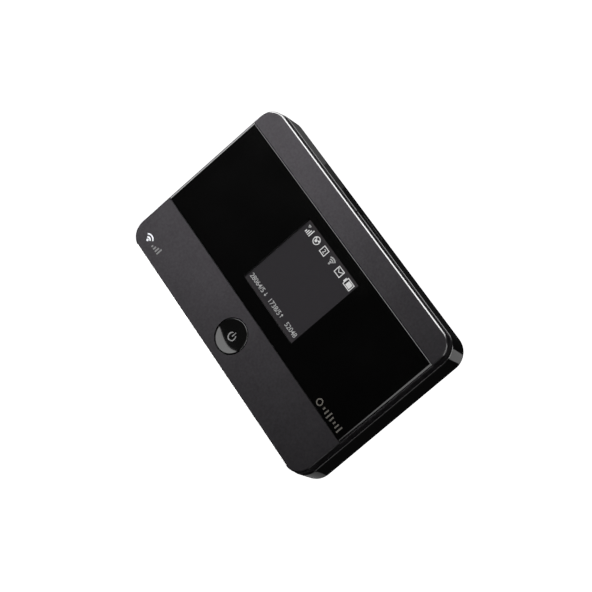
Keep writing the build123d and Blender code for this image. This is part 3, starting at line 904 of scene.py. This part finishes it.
def makeCasing(settings):
    low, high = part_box("front_shell")
    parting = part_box("chassis")[1].z
    windowLow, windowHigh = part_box("window_panel")
    low.z = parting
    gap = settings["windowGap"]
    casing = addBlock("front_casing", low, high)
    pick(casing, "EDGE", upright)
    roundEdges(settings["corner"], settings["cornerSteps"])
    pick(casing, "EDGE", atLevel(high.z))
    roundEdges(settings["chamfer"], settings["chamferSteps"])
    pick(casing, "FACE", facing((0, 0, -1)))
    bpy.ops.mesh.inset(thickness=settings["skirt"], depth=0)
    push((0, 0, settings["seatUnder"] - parting))
    objectMode()
    skirtX, skirtY = high.x - settings["skirt"], high.y - settings["skirt"]
    inset = settings["corner"]
    for yLow, yHigh in (
        (-skirtY, windowLow.y - gap - settings["seatWall"]),
        (windowHigh.y + gap + settings["seatWall"], skirtY),
    ):
        cutBlock(
            casing,
            (-skirtX + inset, yLow, settings["seatUnder"] - settings["edge"]),
            (skirtX - inset, yHigh, settings["plateUnder"]),
        )
    cutBlock(
        casing,
        (low.x + settings["rim"], windowLow.y - gap, settings["seatTop"]),
        (high.x - settings["rim"], windowHigh.y + gap, high.z + settings["skirt"]),
    )
    cutBlock(
        casing,
        (2 * low.x, windowLow.y - gap, high.z - settings["rimDrop"]),
        (2 * high.x, windowHigh.y + gap, high.z + settings["skirt"]),
    )
    displayLow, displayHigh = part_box("display_panel")
    play = settings["displayGap"]
    cutBlock(
        casing,
        (displayLow.x - play, displayLow.y - play, parting),
        (displayHigh.x + play, displayHigh.y + play, high.z),
    )
    buttonLow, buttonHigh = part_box("power_button")
    centre = (buttonLow + buttonHigh) / 2
    hole = addPost(
        "hole",
        centre,
        settings["buttonRadius"] + settings["buttonGap"],
        settings["seatUnder"],
        high.z + settings["skirt"],
        96,
    )
    combine(casing, hole, "DIFFERENCE")
    soften(casing, settings["edge"])
    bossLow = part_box("front_shell")[0].z
    bosses = []
    boreLow = bossLow - settings["skirt"]
    for place in screwPlaces(settings["screwReach"]):
        boss = addPost("boss", place, settings["bossRadius"], bossLow, settings["plateUnder"], 32)
        bore = addPost("bore", place, settings["boreRadius"], boreLow, settings["seatUnder"], 24)
        combine(boss, bore, "DIFFERENCE")
        bosses.append(boss)
    casing = join([casing] + bosses, "front_casing")
    finishPiece(casing, "body", shellFinish, smooth=30)
    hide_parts("front_shell")


makeCasing(casingSet)
print("front casing made")


# Window plate

plateSet = {"bevelLength": 0.55 * mm, "bevelDrop": 0.35 * mm, "seam": 0.22 * mm, "edge": 0.03 * mm}


def makeWindow(settings):
    low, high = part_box("window_panel")
    plate = addBlock("window_plate", low, high)
    topLevel = atLevel(high.z)
    pick(plate, "EDGE", lambda edge: topLevel(edge) and same(edge.verts[0].co.y, edge.verts[1].co.y))
    roundEdges(settings["seam"], 2)
    slope = Vector((settings["bevelDrop"], 0, settings["bevelLength"])).normalized()
    for side in (-1, 1):
        pick(plate, "FACE", lambda face: True)
        bpy.ops.mesh.bisect(
            plane_co=(side * high.x, 0, high.z - settings["bevelDrop"]),
            plane_no=(side * slope.x, 0, slope.z),
            use_fill=True,
            clear_outer=True,
        )
    objectMode()
    soften(plate, settings["edge"], 2, 20)
    finishPiece(plate, "body", glossWindow, smooth=18)
    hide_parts("window_panel")


makeWindow(plateSet)
print("window made")


# Flat shapes for the display and the prints


def flatten(piece, centre, base, thickness, turn=0.0):
    # Puts a flat mesh, drawn round the origin, at its place with its thickness upwards
    only(piece)
    bpy.ops.object.mode_set(mode="EDIT")
    bpy.ops.mesh.select_all(action="SELECT")
    bpy.ops.mesh.remove_doubles(threshold=0.0005 * mm)
    push((0, 0, thickness))
    bpy.ops.mesh.select_all(action="SELECT")
    bpy.ops.mesh.normals_make_consistent(inside=False)
    bpy.ops.object.mode_set(mode="OBJECT")
    piece.data.transform(Matrix.Translation((centre[0], centre[1], base)) @ Matrix.Rotation(turn, 4, "Z"))
    return piece


def bar(x, y, width, height, base, thickness, turn=0.0):
    readyToAdd()
    bpy.ops.mesh.primitive_plane_add(size=1)
    piece = fresh("bar")
    piece.scale = (width, height, 1)
    bpy.ops.object.transform_apply(location=True, rotation=True, scale=True)
    return flatten(piece, (x, y), base, thickness, turn)


def ringPart(x, y, outerRadius, breadth, base, thickness, start=0.0, sweep=360.0, steps=24):
    # A ring or part of one, spun from a short bar; the angles are in degrees from +X
    readyToAdd()
    bpy.ops.mesh.primitive_plane_add(size=1)
    piece = fresh("ring")
    bpy.ops.object.mode_set(mode="EDIT")
    bpy.ops.mesh.select_all(action="SELECT")
    bpy.ops.mesh.delete(type="ONLY_FACE")
    bpy.ops.object.mode_set(mode="OBJECT")
    pick(piece, "VERT", lambda corner: corner.co.y > 0)
    bpy.ops.mesh.delete(type="VERT")
    bpy.ops.object.mode_set(mode="OBJECT")
    first, second = piece.data.vertices[0], piece.data.vertices[1]
    angle = math.radians(start)
    for corner, radius in ((first, outerRadius - breadth), (second, outerRadius)):
        corner.co = (radius * math.cos(angle), radius * math.sin(angle), 0)
    bpy.ops.object.mode_set(mode="EDIT")
    bpy.ops.mesh.select_all(action="SELECT")
    bpy.ops.mesh.spin(steps=steps, angle=math.radians(-sweep), center=(0, 0, 0), axis=(0, 0, 1))
    bpy.ops.object.mode_set(mode="OBJECT")
    return flatten(piece, (x, y), base, thickness)


def disc(x, y, radius, base, thickness, sides=24):
    readyToAdd()
    bpy.ops.mesh.primitive_circle_add(vertices=sides, radius=radius, fill_type="NGON")
    return flatten(fresh("disc"), (x, y), base, thickness)


def frameOutline(x, y, width, height, line, base, thickness):
    # Four bars round a rectangle
    parts = []
    for side in (-1, 1):
        parts.append(bar(x, y + side * (height - line) / 2, width, line, base, thickness))
        parts.append(bar(x + side * (width - line) / 2, y, line, height - 2 * line, base, thickness))
    return parts


def stroke(start, end, width, base, thickness):
    # A straight line between two points
    run = Vector(end) - Vector(start)
    centre = (Vector(start) + Vector(end)) / 2
    return bar(centre.x, centre.y, run.length, width, base, thickness, math.atan2(run.y, run.x))


def figures(body, x, y, height, pitch, base, thickness):
    # Plain digits, set side by side from the left
    readyToAdd()
    bpy.ops.object.text_add(location=(0, 0, 0))
    text = bpy.context.object
    text.data.body = body
    text.data.size = height / 0.70
    text.data.space_character = pitch
    text.data.offset = 0.012 * mm
    text.data.resolution_u = 3
    bpy.ops.object.convert(target="MESH")
    piece = fresh("figures")
    return flatten(piece, (x, y), base, thickness)


# Display symbols

symbolSet = {
    "base": 14.46 * mm,
    "thickness": 0.04 * mm,
    "rowY": 17.05 * mm,
    "line": 0.28 * mm,
    "height": 2.6 * mm,
    "bars": -10.0 * mm,  # middles of the symbols along X
    "globe": -5.55 * mm,
    "boxed": -1.0 * mm,
    "fan": 3.35 * mm,
    "letter": 7.95 * mm,
    "cell": 13.4 * mm,
    "figureY": -7.35 * mm,
    "figureHeight": 1.7 * mm,
    "figurePitch": 0.97,
}


def symbolParts(settings):
    base, thick = settings["base"], settings["thickness"]
    y, line, height = settings["rowY"], settings["line"], settings["height"]
    low = y - height / 2
    lit, dim = [], []
    for place, share in enumerate((0.35, 0.55, 0.75, 1.0)):  # signal bars
        x = settings["bars"] + (place - 1.1) * 0.72 * mm
        lit.append(bar(x, low + share * height / 2, 0.36 * mm, share * height, base, thick))
    mastX, mastY = settings["bars"] - 0.95 * mm, y + height * 0.30
    mastFoot = (mastX, mastY - 0.25 * mm)
    left, right = ((mastX + side * 0.5 * mm, mastY + 0.45 * mm) for side in (-1, 1))
    for start, end in ((left, mastFoot), (right, mastFoot), (left, right)):
        dim.append(stroke(start, end, line * 0.8, base, thick))
    globe = settings["globe"]  # ring with two land patches
    lit.append(ringPart(globe, y, 1.42 * mm, line, base, thick, steps=32))
    lit.append(disc(globe - 0.15 * mm, y - 0.15 * mm, 0.55 * mm, base, thick, 7))
    lit.append(disc(globe - 0.75 * mm, y + 0.55 * mm, 0.33 * mm, base, thick, 6))
    lit.append(disc(globe + 0.72 * mm, y + 0.42 * mm, 0.36 * mm, base, thick, 6))
    lit += frameOutline(settings["boxed"], y, 2.75 * mm, height, line, base, thick)  # boxed digit
    lit.append(figures("2", settings["boxed"] - 0.42 * mm, y - 0.68 * mm, 1.35 * mm, 1.0, base, thick))
    fanY = y - height / 2 + 0.15 * mm
    for radius in (2.35, 1.65, 0.95):  # three arcs over a dot
        dim.append(ringPart(settings["fan"], fanY, radius * mm, 0.42 * mm, base, thick, 52, 76, 10))
    dim.append(disc(settings["fan"], fanY + 0.1 * mm, 0.33 * mm, base, thick, 12))
    letter = settings["letter"]
    lit += frameOutline(letter, y, 3.1 * mm, height, line, base, thick)
    for side in (-1, 1):
        flapEnd = (letter + side * 1.2 * mm, y + 0.75 * mm)
        lit.append(stroke(flapEnd, (letter, y - 0.25 * mm), line * 0.9, base, thick))
    cell = settings["cell"]  # battery, its cap to the left
    lit += frameOutline(cell, y, 3.6 * mm, height, line, base, thick)
    lit.append(bar(cell - 2.05 * mm, y, 0.5 * mm, height * 0.5, base, thick))
    lit.append(bar(cell + 0.2 * mm, y, 2.0 * mm, height - 3.2 * line, base, thick))
    return lit, dim


def readoutParts(settings):
    base, thick = settings["base"], settings["thickness"]
    y, height, pitch = settings["figureY"], settings["figureHeight"], settings["figurePitch"]
    parts = []
    for body, x in (("28064/5", -11.9), ("1738/5", -0.95), ("52048", 9.3)):
        parts.append(figures(body, x * mm, y, height, pitch, base, thick))
    for x, way in ((-3.0, -1), (6.4, 1)):  # arrows down and up
        middleY = y + height / 2
        tip = middleY + way * height * 0.42
        parts.append(bar(x * mm, middleY, 0.22 * mm, height * 0.8, base, thick))
        for side in (-1, 1):
            wing = (x * mm + side * 0.38 * mm, tip - way * 0.45 * mm)
            parts.append(stroke(wing, (x * mm, tip), 0.22 * mm, base, thick))
    return parts


litParts, dimParts = symbolParts(symbolSet)
finishPiece(join(litParts, "display_symbols"), "body", iconFinish, weighted=False)
finishPiece(join(dimParts, "display_symbols_dim"), "body", dimIconFinish, weighted=False)
readout = join(readoutParts(symbolSet), "display_readout")
finishPiece(readout, "body", dimIconFinish, weighted=False)
print("display symbols made")


# Prints on the casing and the window

printPlaceSet = {
    "thickness": 0.02 * mm,
    "boldX": -46.0 * mm,  # bold mark: a dot under two arcs
    "boldY": -28.9 * mm,
    "faintX": -43.0 * mm,  # faint mark: rising bars
    "faintY": -28.75 * mm,
    "markX": 38.0 * mm,
    "markY": -11.9 * mm,
}


def makePrints(settings):
    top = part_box("front_shell")[1].z
    thick = settings["thickness"]
    x, y = settings["boldX"], settings["boldY"]
    bold = [disc(x, y + 0.35 * mm, 0.45 * mm, top, thick, 16)]
    for radius in (1.45, 2.5):
        bold.append(ringPart(x, y + 0.1 * mm, radius * mm, 0.52 * mm, top, thick, 42, 96, 12))
    finishPiece(join(bold, "strip_mark"), "body", printFinish, weighted=False)
    faint = []
    for place, height in enumerate((0.7, 1.25, 1.8, 2.35)):
        faintX = settings["faintX"] + place * 1.1 * mm
        faint.append(bar(faintX, settings["faintY"] + height / 2 * mm, 0.55 * mm, height * mm, top, thick))
    finishPiece(join(faint, "strip_mark_faint"), "body", faintPrintFinish, weighted=False)
    markX, markY = settings["markX"], settings["markY"]
    mark = [ringPart(markX, markY, 1.25 * mm, 0.42 * mm, top, thick, steps=28)]
    for place, height in enumerate((1.0, 1.8, 2.5, 1.8, 1.0, 1.8, 2.5)):
        mark.append(bar(markX + (2.6 + place * 1.45) * mm, markY, 0.55 * mm, height * mm, top, thick))
    finishPiece(join(mark, "window_mark"), "body", markFinish, weighted=False)


makePrints(printPlaceSet)
print("prints made")


# Marks on the battery label and the cards

innerPrintSet = {
    "thickness": 0.015 * mm,
    "line": 0.5 * mm,
    "signSize": 3.2 * mm,
    "arrow": 2.2 * mm,
}


def makeInnerPrints(settings):
    line, sign = settings["line"], settings["signSize"]
    thick = settings["thickness"]
    low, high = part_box("battery_label")
    base = low.z - thick
    centreX, centreY = (low.x + high.x) / 2, (low.y + high.y) / 2
    wide, deep = high.x - low.x, high.y - low.y
    marks = frameOutline(centreX, centreY, wide - 4 * mm, deep - 4 * mm, line * 0.6, base, thick)
    for side, isPlus in ((-1, False), (1, True)):  # minus and plus beside the contacts
        signX, signY = high.x - 7 * mm, centreY + side * deep * 0.25
        marks.append(bar(signX, signY, sign, line, base, thick))
        if isPlus:
            marks.append(bar(signX, signY + sign * 0.29, line, sign * 0.42, base, thick))
            marks.append(bar(signX, signY - sign * 0.29, line, sign * 0.42, base, thick))
    for row, share in enumerate((0.62, 0.50, 0.56, 0.34)):  # plain rules in place of text
        ruleX = low.x + 6 * mm + share * wide / 2
        marks.append(bar(ruleX, centreY + (7.5 - row * 3.4) * mm, share * wide, line * 1.3, base, thick))
    marks.append(ringPart(low.x + 10 * mm, centreY - 10.5 * mm, 3.0 * mm, line, base, thick, steps=32))
    marks.append(bar(low.x + 10 * mm, centreY - 10.5 * mm, line * 0.9, 3.4 * mm, base, thick, 0.7))
    finishPiece(join(marks, "label_marks"), "battery", labelInkFinish, weighted=False)
    for card, body in (("sim_card", "sim"), ("memory_card", "memory")):  # arrow showing the way in
        low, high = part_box(card)
        base, x, y = low.z - thick, (low.x + high.x) / 2, low.y + settings["arrow"] * 1.1
        arrow = [bar(x, y, line * 0.8, settings["arrow"], base, thick)]
        tip = (x, y + settings["arrow"] * 0.62)
        for side in (-1, 1):
            wing = (x + side * settings["arrow"] * 0.42, y + settings["arrow"] * 0.15)
            arrow.append(stroke(wing, tip, line * 0.8, base, thick))
        finish = labelInkFinish if card == "sim_card" else faintPrintFinish
        finishPiece(join(arrow, card + "_arrow"), body, finish, weighted=False)


makeInnerPrints(innerPrintSet)
print("inner prints made")


# Studio: floor, lights and reflection cards

studioSet = {
    "floorHeight": -1.0,  # far enough down to leave views from below clear
    "floorSize": 6.0,
    "floorGlow": 1.1,
    "domeRadius": 4.0,
}
lampSets = {
    # place, size, power and turn: 0 shines straight down, 180 straight up
    "lampFill": ((-0.15, 0.10, 1.0), 0.9, 0.20, 0),
    "lampNear": ((-0.060, 0.030, 0.115), 0.07, 0.205, 0),
    "lampBelow": ((0.0, 0.0, -0.7), 0.8, 0.9, 180),
}
cardSets = {
    # place, width, height, strength, and whether it lies flat
    "cardBack": ((-0.30, 0.68, 0.30), 0.60, 0.95, 6.5, False),
    "cardRight": ((0.62, -0.20, 0.755), 0.30, 0.20, 3.0, False),
    "cardFront": ((-0.36, -0.75, -0.05), 0.30, 0.50, 12.0, False),
    "cardLeft": ((-0.74, -0.16, -0.20), 0.40, 0.60, 4.0, False),
    "cardRim": ((-0.69, 0.36, -0.07), 0.45, 0.40, 4.0, False),
    "cardArc": ((-0.66, 0.30, 0.50), 0.34, 0.34, 10.0, False),
    "cardCorner": ((0.54, 0.42, 0.28), 0.60, 0.70, 9.0, False),
    "cardSide": ((0.75, -0.22, 0.36), 0.24, 0.40, 1.6, False),
    "cardLowBack": ((0.079, 0.045, -0.055), 0.034, 0.026, 0.75, True),
    "cardLowFront": ((0.056, -0.061, -0.055), 0.04, 0.03, 0.25, True),
    "cardLowLeft": ((-0.074, 0.047, -0.055), 0.026, 0.03, 0.13, True),
    "cardLowNext": ((-0.055, 0.047, -0.055), 0.012, 0.03, 0.05, True),
}
arcSet = {
    # overhead card with a curved near edge
    "centre": (-0.42, -0.90),
    "outerRadius": 1.20,
    "stroke": 0.39,  # its width, near edge to far edge
    "height": 0.90,
    "start": 55,
    "sweep": 72,
    "strength": 3.9,
}


def emitter(name, colour, strength):
    made = bpy.data.materials.new(name)
    made.use_nodes = True
    tree = made.node_tree
    shader = tree.nodes["Principled BSDF"]
    shader.inputs["Base Color"].default_value = (0, 0, 0, 1)
    shader.inputs["Specular IOR Level"].default_value = 0
    shader.inputs["Emission Color"].default_value = colour
    shader.inputs["Emission Strength"].default_value = strength
    return made


def addFloor(settings):
    readyToAdd()
    bpy.ops.mesh.primitive_plane_add(size=settings["floorSize"], location=(0, 0, settings["floorHeight"]))
    floor = fresh("floor")
    paper = bpy.data.materials.new("floorPaper")
    paper.use_nodes = True
    shader = paper.node_tree.nodes["Principled BSDF"]
    shader.inputs["Base Color"].default_value = (0.9, 0.9, 0.9, 1)
    shader.inputs["Roughness"].default_value = 0.9
    shader.inputs["Emission Color"].default_value = (1, 1, 1, 1)
    shader.inputs["Emission Strength"].default_value = settings["floorGlow"]
    floor.data.materials.append(paper)
    floor.visible_glossy = False
    floor.visible_diffuse = False
    floor.visible_shadow = False


def addLamp(name, place, size, power, turn):
    data = bpy.data.lights.new(name, "AREA")
    data.energy = power
    data.size = size
    lamp = bpy.data.objects.new(name, data)
    scene.collection.objects.link(lamp)
    lamp.location = place
    lamp.rotation_euler = (math.radians(turn), 0, 0)
    lamp.visible_glossy = False
    lamp.visible_camera = False


def addCard(name, place, width, height, strength, flat):
    # A bright card, turned to the object unless it lies flat, that only reflections see
    readyToAdd()
    bpy.ops.mesh.primitive_plane_add(size=1)
    card = fresh(name)
    card.scale = (width, height, 1)
    card.rotation_mode = "QUATERNION"
    if not flat:
        card.rotation_quaternion = (middle - Vector(place)).to_track_quat("Z", "Y")
    card.location = place
    onlyReflected(card, name, strength)


def addArcCard(settings):
    x, y = settings["centre"]
    values = (settings["outerRadius"], settings["stroke"], settings["height"], 0.001)
    card = ringPart(x, y, *values, settings["start"], settings["sweep"], 32)
    onlyReflected(card, "cardTop", settings["strength"])


def onlyReflected(card, name, strength):
    card.name = name
    card.data.materials.append(emitter(name, (1, 1, 1, 1), strength))
    for ray in ("camera", "diffuse", "transmission", "volume_scatter", "shadow"):
        setattr(card, "visible_" + ray, False)


def addDome(radius):
    # Pale surroundings that only the camera sees
    readyToAdd()
    bpy.ops.mesh.primitive_uv_sphere_add(segments=48, ring_count=24, radius=radius)
    dome = fresh("dome")
    dome.data.materials.append(emitter("dome", (1, 1, 1, 1), 1.1))
    for ray in ("diffuse", "glossy", "transmission", "volume_scatter", "shadow"):
        setattr(dome, "visible_" + ray, False)


def addWorld():
    world = bpy.data.worlds.new("studio")
    scene.world = world
    world.use_nodes = True
    tree = world.node_tree
    way = Wire(tree, tree.nodes.new("ShaderNodeTexCoord").outputs["Generated"])
    height = axes(way)[2]
    above = height.maths("ABSOLUTE", height)
    values = {"Value": above, "From Min": 0.02, "From Max": 0.30, "To Min": 0.10, "To Max": 0.014}
    level = height.node("ShaderNodeMapRange", {"interpolation_type": "SMOOTHSTEP"}, values)
    tree.links.new(level.output, tree.nodes["Background"].inputs["Color"])


addFloor(studioSet)
addDome(studioSet["domeRadius"])
for lampName, lampValues in lampSets.items():
    addLamp(lampName, *lampValues)
for cardName, cardValues in cardSets.items():
    addCard(cardName, *cardValues)
addArcCard(arcSet)
addWorld()
scene.view_settings.view_transform = "Standard"
print("studio made")
